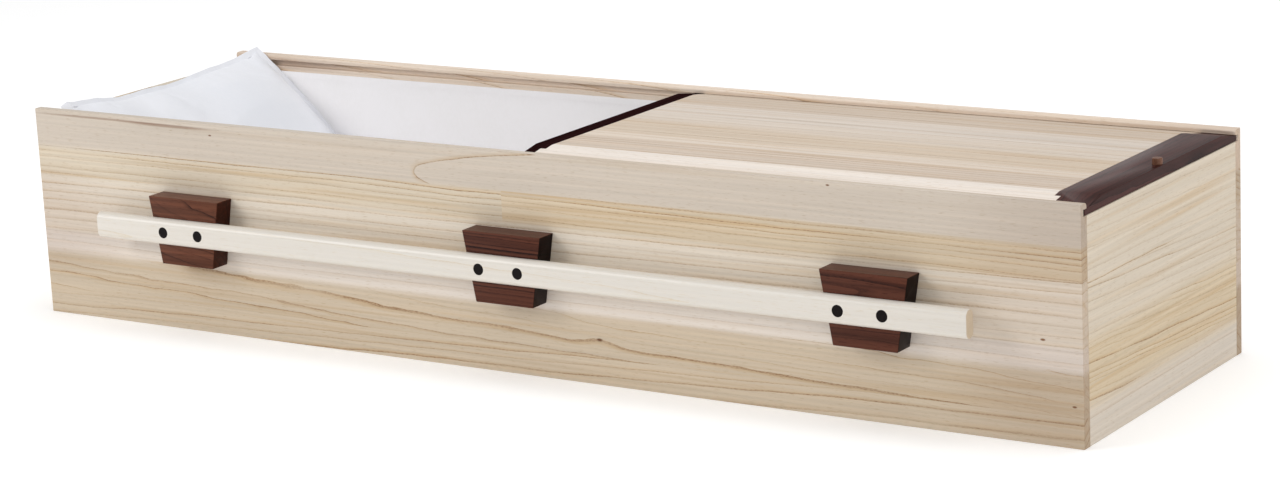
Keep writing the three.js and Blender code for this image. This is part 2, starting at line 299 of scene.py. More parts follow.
def ring_marks(tree, given, years, steep, own_place):
    """The line of pores at the start of a ring and the blush outside it, each from 0 to 1."""
    part = calc(tree, "FRACT", years)
    past_line = calc(tree, "DIVIDE", calc(tree, "MULTIPLY", part, given["Ring"]), steep)
    inputs = {"W": calc(tree, "ADD", calc(tree, "FLOOR", years), given["Seed"])}
    luck = add_node(tree, "ShaderNodeTexWhiteNoise", inputs, noise_dimensions="1D").outputs["Value"]
    force = calc(tree, "MULTIPLY", at_least(tree, FAINTEST_RING, luck), given["Strength"])
    patchy = fade(tree, noise(tree, own_place, STRETCHES), *STRETCH_FADE)
    force = calc(tree, "MULTIPLY", force, at_least(tree, FAINTEST_STRETCH, patchy))
    dots = fade(tree, noise(tree, own_place, PORES, 1.0), *PORE_FADE)
    line = calc(tree, "MULTIPLY", fade(tree, past_line, LINE_EDGE, LINE_CORE), force)
    line = calc(tree, "MULTIPLY", line, at_least(tree, FAINTEST_PORE, dots))
    reach = calc(tree, "MINIMUM", calc(tree, "MULTIPLY", given["Ring"], BLUSH_SHARE), BLUSH_REACH)
    nearness = fade(tree, calc(tree, "DIVIDE", past_line, reach), 1.0, 0.0)
    bands = fade(tree, noise(tree, own_place, TAN_BANDS), *TAN_FADE)
    bands = calc(tree, "MULTIPLY", bands, calc(tree, "MULTIPLY", given["Strength"], TAN_SHARE))
    bands = calc(tree, "MULTIPLY", bands, steep)
    blush = calc(tree, "MAXIMUM", calc(tree, "MULTIPLY", nearness, force), bands)
    return line, blush


def grain_colour(tree, given, past_butt, marks, fibre, cloud):
    """Lays butt, blush, line, fibres, clouds, knots and end grain over the ground colour.
    The knot spots also paint shade on the ends of some boards, and the walnut's end tint
    also paints shade on the sides of the blocks.
    """
    line, blush = marks
    shade = blend(tree, past_butt, given["Ground"], given["Butt tint"], "MULTIPLY")
    shade = blend(tree, blush, shade, given["Blush tint"], "MULTIPLY")
    shade = blend(tree, line, shade, given["Line tint"], "MULTIPLY")
    shade = blend(tree, fibre, shade, given["Fibre tint"], "MULTIPLY")
    lift = calc(tree, "MULTIPLY_ADD", calc(tree, "SUBTRACT", cloud, 0.5), given["Cloud depth"], 1.0)
    inputs = {0: shade, "Scale": lift}
    shade = add_node(tree, "ShaderNodeVectorMath", inputs, operation="SCALE").outputs[0]
    # The knot mask also holds long faint patches that paint shade on the ends of some boards.
    shade = blend(tree, given["KnotAndShade"], shade, given["Knot and shade tint"], "MULTIPLY")
    # The end tint is real end grain, and in the dark walnut also painted shade on the blocks' sides.
    return blend(tree, given["End grain and shade"], shade, given["End grain and shade tint"], "MULTIPLY")


def build_wood_grain(tree, given, wanted):
    """Fills the group: rings first, then their marks, the fibres and the clouds."""
    spot = add_node(tree, "ShaderNodeSeparateXYZ", {0: given["Place"]}).outputs
    past_butt = calc(tree, "GREATER_THAN", spot[0], given["Butt"])
    seed = calc(tree, "MULTIPLY_ADD", past_butt, BUTT_SEED, given["Seed"])
    inputs = {0: calc(tree, "MULTIPLY_ADD", seed, SEED_STEP, spot[0]), 1: spot[1], 2: spot[2]}
    own_place = add_node(tree, "ShaderNodeCombineXYZ", inputs).outputs[0]
    years, steep = ring_years(tree, given, (spot[0], spot[1], spot[2]), own_place, past_butt)
    line, blush = ring_marks(tree, given, years, steep, own_place)
    fibre = fade(tree, noise(tree, own_place, FIBRES, 1.0), *FIBRE_FADE)
    slow_cloud = calc(tree, "MULTIPLY", noise(tree, own_place, CLOUDS), 1 - STREAK_SHARE)
    cloud = calc(tree, "MULTIPLY_ADD", noise(tree, own_place, STREAKS, 3.0), STREAK_SHARE, slow_cloud)
    shade = grain_colour(tree, given, past_butt, (line, blush), fibre, cloud)
    tree.links.new(shade, wanted["Colour"])
    tree.links.new(calc(tree, "MULTIPLY_ADD", fibre, FIBRE_ROUGH, WOOD_ROUGH), wanted["Roughness"])
    hollow = calc(tree, "MULTIPLY_ADD", fibre, FIBRE_HOLLOW, line)
    tree.links.new(calc(tree, "SUBTRACT", 1.0, hollow), wanted["Height"])


build_wood_grain(wood_grain, given, wanted)
print("wood_grain has", len(wood_grain.nodes), "nodes")

# %% [markdown]
# ## Boards glued up from strips
# Each pale board is several strips glued edge to edge, and each strip comes from another part
# of a trunk. A stepped colour ramp over the board's width gives every strip its own ground
# colour, heart line and ring width. The alternative, one material for each strip, would need
# the board cut into faces for it. Small knots are placed one by one: the rings swirl round each
# one, and its middle is a dark spot. Stretched long and faint, the same spots give the streaks
# on the lip, and painted shade that darkens the ends of a board where the light falls off.

# %% Board materials
NO_BUTT = 2.0
Strip = namedtuple(
    "Strip",
    "top ground ring heart_across heart_depth slope_across slope_depth wander strength seed soft butt",
    defaults=(0.0, NO_BUTT),
)
KnotAndShade = namedtuple("KnotAndShade", "along across radius swirl stretch depth", defaults=(0.45, 1.0))
SHARPEST = 0.0006
CHANNELS = 3
# These shape every spot alike: the knots and the painted shade patches at the board ends.
KNOT_AND_SHADE_CORE = 0.3
KNOT_REACH = 8
KNOT_AND_SHADE_INWARD = 0.25
END_GRAIN_AND_SHADE_FADE = (0.75, 0.95)
GRAIN_HEIGHT = 0.4 * MM
RANGES = {
    "Ring": (0.0, 0.08), "Heart across": (-1.0, 1.0), "Heart depth": (-0.5, 0.5),
    "Slope across": (-0.25, 0.25), "Slope depth": (-0.25, 0.25), "Wander": (0.0, 0.03),
    "Strength": (0.0, 1.0), "Seed": (0.0, 64.0), "Butt": (-NO_BUTT, NO_BUTT),
}
# The knot tint colours the knots, and also the painted shade at the ends of some boards.
BOARD_TINTS = {
    "Line tint": colour(170, 141, 114), "Blush tint": colour(239, 220, 190),
    "Fibre tint": colour(230, 220, 206), "End grain and shade tint": colour(240, 233, 225),
    "Butt tint": colour(252, 247, 239), "Knot and shade tint": colour(150, 112, 84), "Cloud depth": 0.5,
}


def stepped_ramp(tree, position, tops, colours):
    """A colour ramp with one flat step for each strip."""
    node = add_node(tree, "ShaderNodeValToRGB", {0: position})
    steps = node.color_ramp
    steps.interpolation = "CONSTANT"
    steps.elements.remove(steps.elements[1])
    steps.elements[0].position = 0.0
    steps.elements[0].color = colours[0]
    for top, shade in zip(tops, colours[1:]):
        steps.elements.new(top).color = shade
    return node.outputs[0]


def ground_ramp(tree, position, strips, low, high):
    """The ground colours, with a glue line or a soft change between one strip and the next."""
    node = add_node(tree, "ShaderNodeValToRGB", {0: position})
    steps = node.color_ramp
    steps.elements.remove(steps.elements[1])
    steps.elements[0].position = 0.0
    steps.elements[0].color = strips[0].ground
    for strip, following in zip(strips, strips[1:]):
        half = max(strip.soft, SHARPEST) / 2
        steps.elements.new((strip.top - half - low) / (high - low)).color = strip.ground
        steps.elements.new((strip.top + half - low) / (high - low)).color = following.ground
    return node.outputs[0]


def strip_values(tree, across, low, high, strips):
    """What the wood_grain group needs to know, as it changes from strip to strip."""
    inputs = {0: across, 1: low, 2: high, 3: 0.0, 4: 1.0}
    position = add_node(tree, "ShaderNodeMapRange", inputs).outputs[0]
    tops = [(strip.top - low) / (high - low) for strip in strips]
    values = {"Ground": ground_ramp(tree, position, strips, low, high)}
    names = list(RANGES)
    for first in range(0, len(names), CHANNELS):
        trio = names[first:first + CHANNELS]
        shades = []
        for strip in strips:
            shade = [0.0, 0.0, 0.0, 1.0]
            for channel, name in enumerate(trio):
                start, end = RANGES[name]
                amount = getattr(strip, name.lower().replace(" ", "_"))
                shade[channel] = (amount - start) / (end - start)
            shades.append(shade)
        channels = add_node(
            tree, "ShaderNodeSeparateColor", {0: stepped_ramp(tree, position, tops, shades)}
        ).outputs
        for channel, name in enumerate(trio):
            start, end = RANGES[name]
            values[name] = calc(tree, "MULTIPLY_ADD", channels[channel], end - start, start)
    return values


def knot_and_shade_values(tree, place, knots_and_shade):
    """The dark middle of each knot and of each painted shade patch at a board's end,
    and how far the rings are pushed round it.
    """
    dark = 0.0
    push = 0.0
    for knot_and_shade in knots_and_shade:
        inputs = {0: place, 1: (knot_and_shade.along, knot_and_shade.across, 0.0)}
        away = add_node(tree, "ShaderNodeVectorMath", inputs, operation="SUBTRACT").outputs[0]
        inputs = {0: away, 1: (knot_and_shade.stretch, 1.0, KNOT_AND_SHADE_INWARD)}
        away = add_node(tree, "ShaderNodeVectorMath", inputs, operation="MULTIPLY").outputs[0]
        away = add_node(tree, "ShaderNodeVectorMath", {0: away}, operation="LENGTH").outputs["Value"]
        spot = fade(tree, away, knot_and_shade.radius, knot_and_shade.radius * KNOT_AND_SHADE_CORE)
        dark = calc(tree, "MULTIPLY_ADD", spot, knot_and_shade.depth, dark)
        bulge = fade(tree, away, knot_and_shade.radius * KNOT_REACH, 0.0)
        push = calc(tree, "MULTIPLY_ADD", bulge, knot_and_shade.swirl, push)
    return {"KnotAndShade": dark, "Swirl": push}


def wood_material(
    name, turn, shift, values, strips=None, low=0.0, high=1.0, knots_and_shade=(),
    gloss=0.0, relief=0.12, shine=0.35,
):
    """A wood finish whose grain runs along the turned X axis."""
    material = bpy.data.materials.new(name)
    material.use_nodes = True
    tree = material.node_tree
    shader = tree.nodes["Principled BSDF"]
    shader.inputs["Specular IOR Level"].default_value = shine
    spot = add_node(tree, "ShaderNodeTexCoord", {}).outputs
    turned = [math.radians(angle) for angle in turn]
    inputs = {"Vector": spot["Object"], "Rotation": turned, "Location": shift}
    place = add_node(tree, "ShaderNodeMapping", inputs).outputs[0]
    inputs = {"Vector": spot["Normal"], "Rotation": turned}
    facing = add_node(tree, "ShaderNodeMapping", inputs, vector_type="VECTOR").outputs[0]
    facing = add_node(tree, "ShaderNodeSeparateXYZ", {0: facing}).outputs[0]
    # Faces across the grain get the end tint: real end grain, and in the walnut also painted shade on the
    # sides of the blocks.
    end_grain_and_shade = fade(tree, calc(tree, "ABSOLUTE", facing), *END_GRAIN_AND_SHADE_FADE)
    across = add_node(tree, "ShaderNodeSeparateXYZ", {0: place}).outputs[1]
    fed = dict(values)
    if strips:
        fed.update(strip_values(tree, across, low, high, strips))
    if knots_and_shade:
        fed.update(knot_and_shade_values(tree, place, knots_and_shade))
    fed.update({"Place": place, "End grain and shade": end_grain_and_shade})
    grain = add_node(tree, "ShaderNodeGroup", fed, node_tree=wood_grain)
    tree.links.new(grain.outputs["Colour"], shader.inputs["Base Color"])
    rough = calc(tree, "SUBTRACT", grain.outputs["Roughness"], gloss)
    tree.links.new(rough, shader.inputs["Roughness"])
    inputs = {"Height": grain.outputs["Height"], "Strength": relief, "Distance": GRAIN_HEIGHT}
    bump = add_node(tree, "ShaderNodeBump", inputs).outputs[0]
    tree.links.new(bump, shader.inputs["Normal"])
    return material


TAN = colour(198, 182, 160)
SAND = colour(196, 180, 158)
PALE = colour(222, 212, 202)
PINK = colour(221, 210, 195)
YELLOW = colour(209, 196, 176)
BEIGE = colour(200, 188, 174)

FRONT_STRIPS = [
    Strip(0.045, TAN, 0.012, -0.10, -0.12, 0.010, 0.015, 0.004, 0.80, 1),
    Strip(0.113, SAND, 0.013, 0.16, -0.10, -0.012, 0.030, 0.007, 0.95, 2, 0.012),
    Strip(0.150, PALE, 0.020, 0.40, -0.05, 0.000, 0.010, 0.003, 0.30, 3),
    Strip(0.249, PINK, 0.016, -0.20, -0.05, 0.006, 0.010, 0.003, 0.75, 4, 0.016),
    Strip(0.299, YELLOW, 0.0105, 0.10, -0.06, -0.010, 0.020, 0.004, 1.0, 5, 0.009, -0.014),
    Strip(0.364, BEIGE, 0.060, 0.316, -0.1116, 0.000, 0.041, 0.0006, 1.0, 6),
]
FRONT_KNOTS_AND_END_SHADE = [
    KnotAndShade(0.161, 0.074, 0.0035, 0.007), KnotAndShade(-0.608, 0.345, 0.002, 0.0), KnotAndShade(0.585, 0.359, 0.002, 0.0),
    KnotAndShade(0.936, 0.159, 0.0025, 0.001), KnotAndShade(0.985, 0.063, 0.0022, 0.001),
    KnotAndShade(-0.86, 0.3565, 0.003, 0.0, 0.016, 0.5), KnotAndShade(-0.70, 0.3545, 0.004, 0.0, 0.03, 0.6),
    # These last two spots are no knots: long faint patches of painted shade on both ends of the board,
    # where the light falls off.
    KnotAndShade(-1.02, 0.170, 0.125, 0.0, 0.4, 0.26), KnotAndShade(1.0, 0.17, 0.36, 0.0, 1.2, 0.22),
]
BACK_STRIPS = [strip._replace(seed=strip.seed + 20) for strip in FRONT_STRIPS]
BACK_STRIPS[-1] = BACK_STRIPS[-1]._replace(ground=colour(226, 210, 194), ring=0.010)
# The second spot is a long faint patch of painted shade on the foot end of the board, where the light falls
# off.
BACK_KNOTS_AND_END_SHADE = [KnotAndShade(0.98, 0.350, 0.02, 0.0, 0.06, 0.4), KnotAndShade(-1.0, 0.17, 0.36, 0.0, 1.2, 0.28)]
END_HEIGHT = 0.345
HEAD_SHIFT = 0.4
END_STRIPS = [
    Strip(0.060, colour(210, 199, 185), 0.025, -0.30, -0.05, 0.0, 0.02, 0.003, 0.35, 11, 0.03),
    Strip(0.160, colour(206, 188, 159), 0.010, -0.12, -0.08, -0.06, 0.02, 0.005, 1.0, 12, 0.03),
    Strip(0.240, colour(210, 197, 178), 0.016, -0.25, -0.06, -0.05, 0.01, 0.004, 0.70, 13, 0.04),
    Strip(END_HEIGHT, colour(210, 197, 178), 0.024, -0.30, -0.10, -0.03, 0.02, 0.006, 0.90, 14),
]
LID_STRIPS = [
    Strip(-0.205, colour(233, 223, 213), 0.026, -0.60, -0.05, 0.0, 0.02, 0.004, 0.30, 31),
    Strip(-0.125, colour(206, 190, 174), 0.012, -0.40, -0.08, 0.01, 0.02, 0.005, 0.90, 32, 0.004),
    Strip(-0.085, colour(216, 202, 187), 0.014, -0.30, -0.06, -0.01, 0.03, 0.006, 0.80, 33, 0.012),
    Strip(0.000, colour(207, 190, 170), 0.014, 0.35, -0.08, 0.01, 0.02, 0.004, 1.0, 34, 0.012),
    Strip(0.060, colour(211, 198, 184), 0.018, 0.42, -0.06, 0.0, 0.02, 0.004, 0.60, 35, 0.01),
    Strip(0.140, colour(212, 200, 188), 0.020, 0.50, -0.05, 0.0, 0.02, 0.004, 0.60, 36, 0.004),
    Strip(0.270, colour(201, 184, 166), 0.016, 0.60, -0.05, 0.0, 0.02, 0.003, 0.90, 37),
]
BOTTOM_STRIPS = [strip._replace(seed=strip.seed + 10) for strip in LID_STRIPS]

side_low, side_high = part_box("side_front")
lid_low, lid_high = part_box("lid_panel")
board_front = wood_material(
    "board_front", (-90, 0, 0), (0, 0, side_low.y), BOARD_TINTS, FRONT_STRIPS, 0.0, side_high.z, FRONT_KNOTS_AND_END_SHADE
)
board_back = wood_material(
    "board_back", (-90, 180, 0), (0, 0, side_low.y), BOARD_TINTS, BACK_STRIPS, 0.0, side_high.z, BACK_KNOTS_AND_END_SHADE
)
board_foot = wood_material(
    "board_foot", (-90, -90, 0), (0, 0, -side_high.x), BOARD_TINTS, END_STRIPS, 0.0, END_HEIGHT
)
board_head = wood_material(
    "board_head", (-90, 90, 0), (HEAD_SHIFT, 0, -side_high.x), BOARD_TINTS, END_STRIPS, 0.0, END_HEIGHT
)
board_lid = wood_material(
    "board_lid", (0, 0, 0), (0, 0, -lid_high.z), BOARD_TINTS, LID_STRIPS, lid_low.y, lid_high.y
)
board_bottom = wood_material(
    "board_bottom", (0, 0, 0), (0, 0, 0), BOARD_TINTS, BOTTOM_STRIPS, lid_low.y, lid_high.y
)
print("board strips:", len(FRONT_STRIPS), "in a side,", len(END_STRIPS), "in an end")

# %% [markdown]
# ## Dark, cream and black woods
# The blocks and battens are a dark brown wood with close, strong figure and a satin sheen. The
# rails are a cream wood with hardly any figure, and the plugs are near-black end grain. They
# use the same ring group with other sizes and tints, so the woods belong together.

# %% Dark, cream and black woods
# The walnut's end tint darkens its end faces almost to black: partly real end grain, partly painted shade
# on the sides of the blocks.
WALNUT = {
    "Ground": colour(84, 46, 33), "Line tint": colour(100, 70, 62), "Blush tint": colour(150, 120, 110),
    "Fibre tint": colour(190, 166, 156), "End grain and shade tint": colour(84, 60, 50), "Butt tint": colour(255, 255, 255),
    "Knot and shade tint": colour(120, 90, 80), "Cloud depth": 1.1, "Ring": 0.0085, "Heart depth": -0.03,
    "Heart across": 0.10, "Slope across": 0.0, "Slope depth": 0.1, "Wander": 0.006, "Strength": 1.0,
    "Seed": 41.0, "Butt": NO_BUTT,
}
BATTEN = dict(WALNUT, **{
    "Ground": colour(72, 40, 36), "Heart across": -0.86, "Heart depth": -0.05, "Slope across": 0.02,
    "Slope depth": 0.03, "Ring": 0.011, "Seed": 44.0, "Cloud depth": 1.4,
})
MIDDLE_BATTEN = dict(BATTEN, **{"Ground": colour(42, 22, 23), "Seed": 46.0})
PEG = dict(WALNUT, **{"Ground": colour(112, 76, 58), "End grain and shade tint": colour(240, 230, 220), "Seed": 45.0})
CREAM = dict(WALNUT, **{
    "Ground": colour(216, 210, 201), "Line tint": colour(240, 226, 200),
    "Blush tint": colour(252, 247, 238), "Fibre tint": colour(248, 242, 232),
    "End grain and shade tint": colour(240, 226, 206), "Cloud depth": 0.2, "Ring": 0.012, "Heart depth": -0.2,
    "Heart across": 0.3, "Slope across": 0.004, "Slope depth": 0.01, "Wander": 0.003,
    "Strength": 0.6, "Seed": 47.0,
})
EBONY = dict(WALNUT, **{
    "Ground": colour(18, 11, 12), "Cloud depth": 0.5, "Ring": 0.003, "Slope across": 0.0,
    "End grain and shade tint": colour(255, 255, 255), "Seed": 51.0,
})
BLOCK_FIGURES = [
    {
        "Heart across": 0.27, "Heart depth": -0.05, "Slope depth": 0.12, "Seed": 41.0,
        "Ground": colour(94, 55, 39), "End grain and shade tint": colour(160, 126, 108), "Cloud depth": 2.2,
        "Line tint": colour(66, 44, 38), "Blush tint": colour(126, 98, 88),
    },
    {"Heart across": 0.60, "Heart depth": -0.02, "Ring": 0.006, "Wander": 0.003, "Seed": 42.0},
    {"Heart across": 0.21, "Heart depth": -0.02, "Ring": 0.014, "Seed": 43.0, "Cloud depth": 1.6},
]
block_walnuts = []
for number, figure in enumerate(BLOCK_FIGURES, start=1):
    values = dict(WALNUT, **figure)
    shift = (0, 0, side_low.y)
    block_walnuts.append(
        wood_material(f"walnut_{number}", (-90, 0, 0), shift, values, gloss=0.14, shine=0.12)
    )
batten_walnut = wood_material(
    "batten_walnut", (0, 0, -90), (0, 0, -lid_high.z), BATTEN, gloss=0.22, shine=0.04
)
middle_walnut = wood_material(
    "middle_walnut", (0, 0, -90), (0, 0, -lid_high.z), MIDDLE_BATTEN, gloss=0.12, shine=0.0
)
peg_walnut = wood_material("peg_walnut", (0, 90, 0), (0, 0, 0), PEG, gloss=0.15, shine=0.2)
cream = wood_material("cream", (-90, 0, 0), (0, 0, 0), CREAM, gloss=0.2, relief=0.05, shine=0.5)
ebony = wood_material("ebony", (0, 0, 90), (0, 0, 0), EBONY, gloss=0.05, shine=0.1)
print("dark, cream and black woods ready")

# %% [markdown]
# ## White cotton
# Lining and pillow are plain woven cotton. The threads are far too fine to model, so a group
# gives them as two crossed waves for the bump and a slow unevenness for the colour.

# %% White cotton
THREADS = 5200.0
SLUBS = (120.0, 300.0, 120.0)
SLUB_SHARE = 0.3
SLUB_HEIGHT = 1.5
UNEVEN_CLOTH = (7.0, 5.0, 6.0)
MOTTLE_FADE = (0.35, 0.7)
COTTON_RELIEF = 0.15
COTTON_HEIGHT = 0.15 * MM
COTTON_ROUGH = 0.9
COTTON_SHEEN = 0.15
PILLOW_TILT = 42.5

plain_weave, given, wanted = new_group(
    "plain_weave",
    {"Place": "Vector", "White": "Color", "Shade": "Color"},
    {"Colour": "Color", "Height": "Float"},
)


def build_plain_weave(tree, given, wanted):
    """Fills the group: crossed threads for the height, slubs and unevenness for the colour."""
    spot = add_node(tree, "ShaderNodeSeparateXYZ", {0: given["Place"]}).outputs
    warp = calc(tree, "SINE", calc(tree, "MULTIPLY", spot[0], THREADS))
    weft = calc(tree, "SINE", calc(tree, "MULTIPLY", spot[1], THREADS))
    slubs = noise(tree, given["Place"], SLUBS, 3.0)
    uneven = calc(tree, "MULTIPLY", noise(tree, given["Place"], UNEVEN_CLOTH, 3.0), 1 - SLUB_SHARE)
    mottle = calc(tree, "MULTIPLY_ADD", slubs, SLUB_SHARE, uneven)
    cotton = blend(tree, fade(tree, mottle, *MOTTLE_FADE), given["White"], given["Shade"])
    tree.links.new(cotton, wanted["Colour"])
    threads = calc(tree, "MULTIPLY", warp, weft)
    tree.links.new(calc(tree, "MULTIPLY_ADD", slubs, SLUB_HEIGHT, threads), wanted["Height"])


build_plain_weave(plain_weave, given, wanted)


def cotton_material(name, turn, white, shade):
    """Plain woven cotton, its threads laid along the turned axes."""
    material = bpy.data.materials.new(name)
    material.use_nodes = True
    tree = material.node_tree
    shader = tree.nodes["Principled BSDF"]
    spot = add_node(tree, "ShaderNodeTexCoord", {}).outputs["Object"]
    inputs = {"Vector": spot, "Rotation": [math.radians(angle) for angle in turn]}
    place = add_node(tree, "ShaderNodeMapping", inputs).outputs[0]
    inputs = {"Place": place, "White": white, "Shade": shade}
    weave = add_node(tree, "ShaderNodeGroup", inputs, node_tree=plain_weave)
    tree.links.new(weave.outputs["Colour"], shader.inputs["Base Color"])
    inputs = {"Height": weave.outputs["Height"], "Strength": COTTON_RELIEF, "Distance": COTTON_HEIGHT}
    tree.links.new(add_node(tree, "ShaderNodeBump", inputs).outputs[0], shader.inputs["Normal"])
    shader.inputs["Roughness"].default_value = COTTON_ROUGH
    shader.inputs["Sheen Weight"].default_value = COTTON_SHEEN
    return material


lining_cotton = cotton_material(
    "lining_cotton", (20, 30, 40), colour(247, 245, 246), colour(243, 241, 241)
)
pillow_cotton = cotton_material(
    "pillow_cotton", (0, -PILLOW_TILT, 0), colour(231, 232, 237), colour(226, 228, 234)
)
print("two cottons ready")

# %% [markdown]
# ## Working in edit mode from code
# By hand, one adds a primitive, picks faces or edges with the mouse and runs an operator. In
# code the picking is done by place or normal. These helpers do that, and they also apply a
# modifier as soon as it is set, so that each piece ends as a plain mesh.

# %% Modelling helpers
TOUCH = 0.1 * MM
FACING = 0.9
SMOOTH_ANGLE = math.radians(30)
FLAT_ANGLE = math.radians(1)


def make_active(piece):
    """Selects one object alone."""
    bpy.ops.object.select_all(action="DESELECT")
    piece.select_set(True)
    bpy.context.view_layer.objects.active = piece


def start_edit(piece):
    """Opens a piece in edit mode with all of it selected."""
    make_active(piece)
    bpy.ops.object.mode_set(mode="EDIT")
    bpy.ops.mesh.select_all(action="SELECT")


def end_edit():
    """Turns all faces outwards and goes back to object mode."""
    bpy.ops.mesh.select_all(action="SELECT")
    bpy.ops.mesh.normals_make_consistent(inside=False)
    bpy.ops.object.mode_set(mode="OBJECT")


def middle(item):
    """The place of a vertex, or the middle of an edge or face."""
    if isinstance(item, bmesh.types.BMVert):
        return item.co
    return sum((vert.co for vert in item.verts), Vector()) / len(item.verts)


def pick(kind, test):
    """In edit mode, selects only the verts, edges or faces that pass a test."""
    bpy.ops.mesh.select_mode(type={"verts": "VERT", "edges": "EDGE", "faces": "FACE"}[kind])
    bpy.ops.mesh.select_all(action="DESELECT")
    data = bpy.context.active_object.data
    mesh = bmesh.from_edit_mesh(data)
    count = 0
    for item in getattr(mesh, kind):
        if test(item):
            item.select_set(True)
            count += 1
    mesh.select_flush_mode()
    bmesh.update_edit_mesh(data)
    return count


def saw(place, normal):
    """Cuts the whole mesh along a plane and keeps both parts joined."""
    bpy.ops.mesh.select_all(action="SELECT")
    bpy.ops.mesh.bisect(plane_co=place, plane_no=normal)


def push(kind, test, move):
    """Moves what passes a test."""
    pick(kind, test)
    bpy.ops.transform.translate(value=move)


def apply_modifier(piece, kind, **settings):
    """Adds a modifier, sets it and applies it at once."""
    modifier = piece.modifiers.new(kind.lower(), kind)
    for setting, value in settings.items():
        setattr(modifier, setting, value)
    make_active(piece)
    bpy.ops.object.modifier_apply(modifier=modifier.name)


def ease_edges(piece, width, segments=2, angle=35):
    """Rounds the sharp edges a little, as sandpaper does, and keeps the flats shaded flat."""
    apply_modifier(
        piece, "BEVEL", width=width, segments=segments, limit_method="ANGLE",
        angle_limit=math.radians(angle),
    )
    make_active(piece)
    bpy.ops.object.shade_smooth_by_angle(angle=SMOOTH_ANGLE)
    apply_modifier(piece, "WEIGHTED_NORMAL", keep_sharp=True)


def cut_away(piece, cutter):
    """Takes the cutter's shape out of a piece and removes the cutter."""
    apply_modifier(piece, "BOOLEAN", object=cutter, operation="DIFFERENCE", solver="EXACT")
    bpy.data.objects.remove(cutter)


def add_cube(name, low, high):
    """A cube added at its size and place."""
    bpy.ops.object.select_all(action="DESELECT")
    centre = [(start + end) / 2 for start, end in zip(low, high)]
    bpy.ops.mesh.primitive_cube_add(size=1, location=centre)
    piece = bpy.context.active_object
    piece.name = name
    piece.scale = [end - start for start, end in zip(low, high)]
    bpy.ops.object.transform_apply(location=True, rotation=True, scale=True)
    return piece


def add_section(name, x, low, high):
    """An upright rectangle across the coffin, from (Y, Z) to (Y, Z), ready to be run along X."""
    bpy.ops.object.select_all(action="DESELECT")
    centre = (x, (low[0] + high[0]) / 2, (low[1] + high[1]) / 2)
    bpy.ops.mesh.primitive_plane_add(size=1, location=centre, rotation=(0, math.pi / 2, 0))
    piece = bpy.context.active_object
    piece.name = name
    piece.scale = (high[1] - low[1], high[0] - low[0], 1)
    bpy.ops.object.transform_apply(location=True, rotation=True, scale=True)
    return piece


def add_rod(name, radius, start, end, axis, sides=48):
    """A round rod between two points along one axis."""
    bpy.ops.object.select_all(action="DESELECT")
    centre = (Vector(start) + Vector(end)) / 2
    length = (Vector(end) - Vector(start)).length
    turn = {"X": (0, math.pi / 2, 0), "Y": (math.pi / 2, 0, 0), "Z": (0, 0, 0)}[axis]
    bpy.ops.mesh.primitive_cylinder_add(
        vertices=sides, radius=radius, depth=length, location=centre, rotation=turn
    )
    piece = bpy.context.active_object
    piece.name = name
    bpy.ops.object.transform_apply(location=True, rotation=True, scale=True)
    return piece


def start_twin(piece, name):
    """A copy with a mesh of its own, left in edit mode."""
    make_active(piece)
    bpy.ops.object.duplicate()
    twin = bpy.context.active_object
    twin.name = name
    start_edit(twin)
    return twin


def copy_of(piece, name, move):
    """A copy moved in its mesh."""
    twin = start_twin(piece, name)
    bpy.ops.transform.translate(value=move)
    end_edit()
    return twin


def mirror_of(piece, name):
    """A copy for the other side of the coffin, mirrored in its mesh."""
    twin = start_twin(piece, name)
    bpy.ops.transform.resize(value=(1, -1, 1), center_override=(0, 0, 0))
    end_edit()
    return twin


def settle(piece, body, node, material):
    """Gives a piece its finish and its place in the frame."""
    piece.data.materials.clear()
    piece.data.materials.append(material)
    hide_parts(node)
    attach(piece, body)


print("modelling helpers ready")

# %% [markdown]
# ## Side boards
# A side board is a moulding: the same section from head to foot, with a groove for the lid's
# tongue and a rounded lip above it. So the section is drawn first, as a rectangle with the
# groove taken out and one corner rounded, and is then run along the coffin in one extrusion.
# Cutting a groove into a finished cube would leave loose end faces to clean up.

# %% Side boards
GROOVE_BACK_Y = side_low.y + 9 * MM
GROOVE_LOW_Z = 345 * MM
GROOVE_HIGH_Z = 355 * MM
LIP_ROUND = 5 * MM
BOARD_EASE = 0.9 * MM


def in_groove(face):
    spot = middle(face)
    return spot.y > GROOVE_BACK_Y and GROOVE_LOW_Z < spot.z < GROOVE_HIGH_Z


def on_lip_corner(vert):
    return (vert.co - Vector((side_low.x, side_high.y, side_high.z))).length < MM


def model_side_board():
    board = add_section(
        "board_side_front", side_low.x, (side_low.y, side_low.z), (side_high.y, side_high.z)
    )
    start_edit(board)
    saw((0, 0, GROOVE_LOW_Z), (0, 0, 1))
    saw((0, 0, GROOVE_HIGH_Z), (0, 0, 1))
    saw((0, GROOVE_BACK_Y, 0), (0, 1, 0))
    pick("faces", in_groove)
    bpy.ops.mesh.delete(type="FACE")
    pick("verts", on_lip_corner)
    bpy.ops.mesh.bevel(offset=LIP_ROUND, segments=6, affect="VERTICES")
    bpy.ops.mesh.select_all(action="SELECT")
    bpy.ops.mesh.dissolve_limited(angle_limit=FLAT_ANGLE)
    bpy.ops.mesh.select_all(action="SELECT")
    run = {"value": (side_high.x - side_low.x, 0, 0)}
    bpy.ops.mesh.extrude_region_move(TRANSFORM_OT_translate=run)
    end_edit()
    ease_edges(board, BOARD_EASE)
    return board


side_front = model_side_board()
side_back = mirror_of(side_front, "board_side_back")
settle(side_front, "box", "side_front", board_front)
settle(side_back, "box", "side_back", board_back)
print("side boards:", len(side_front.data.polygons), "faces each")

# %% [markdown]
# ## End boards and bottom
# The ends stand between the sides and are flush with them. They are plain boards, so each is a
# cube at its size, and the work is in the edges: sanding leaves a fine round that catches light
# and shows the joint as a line.

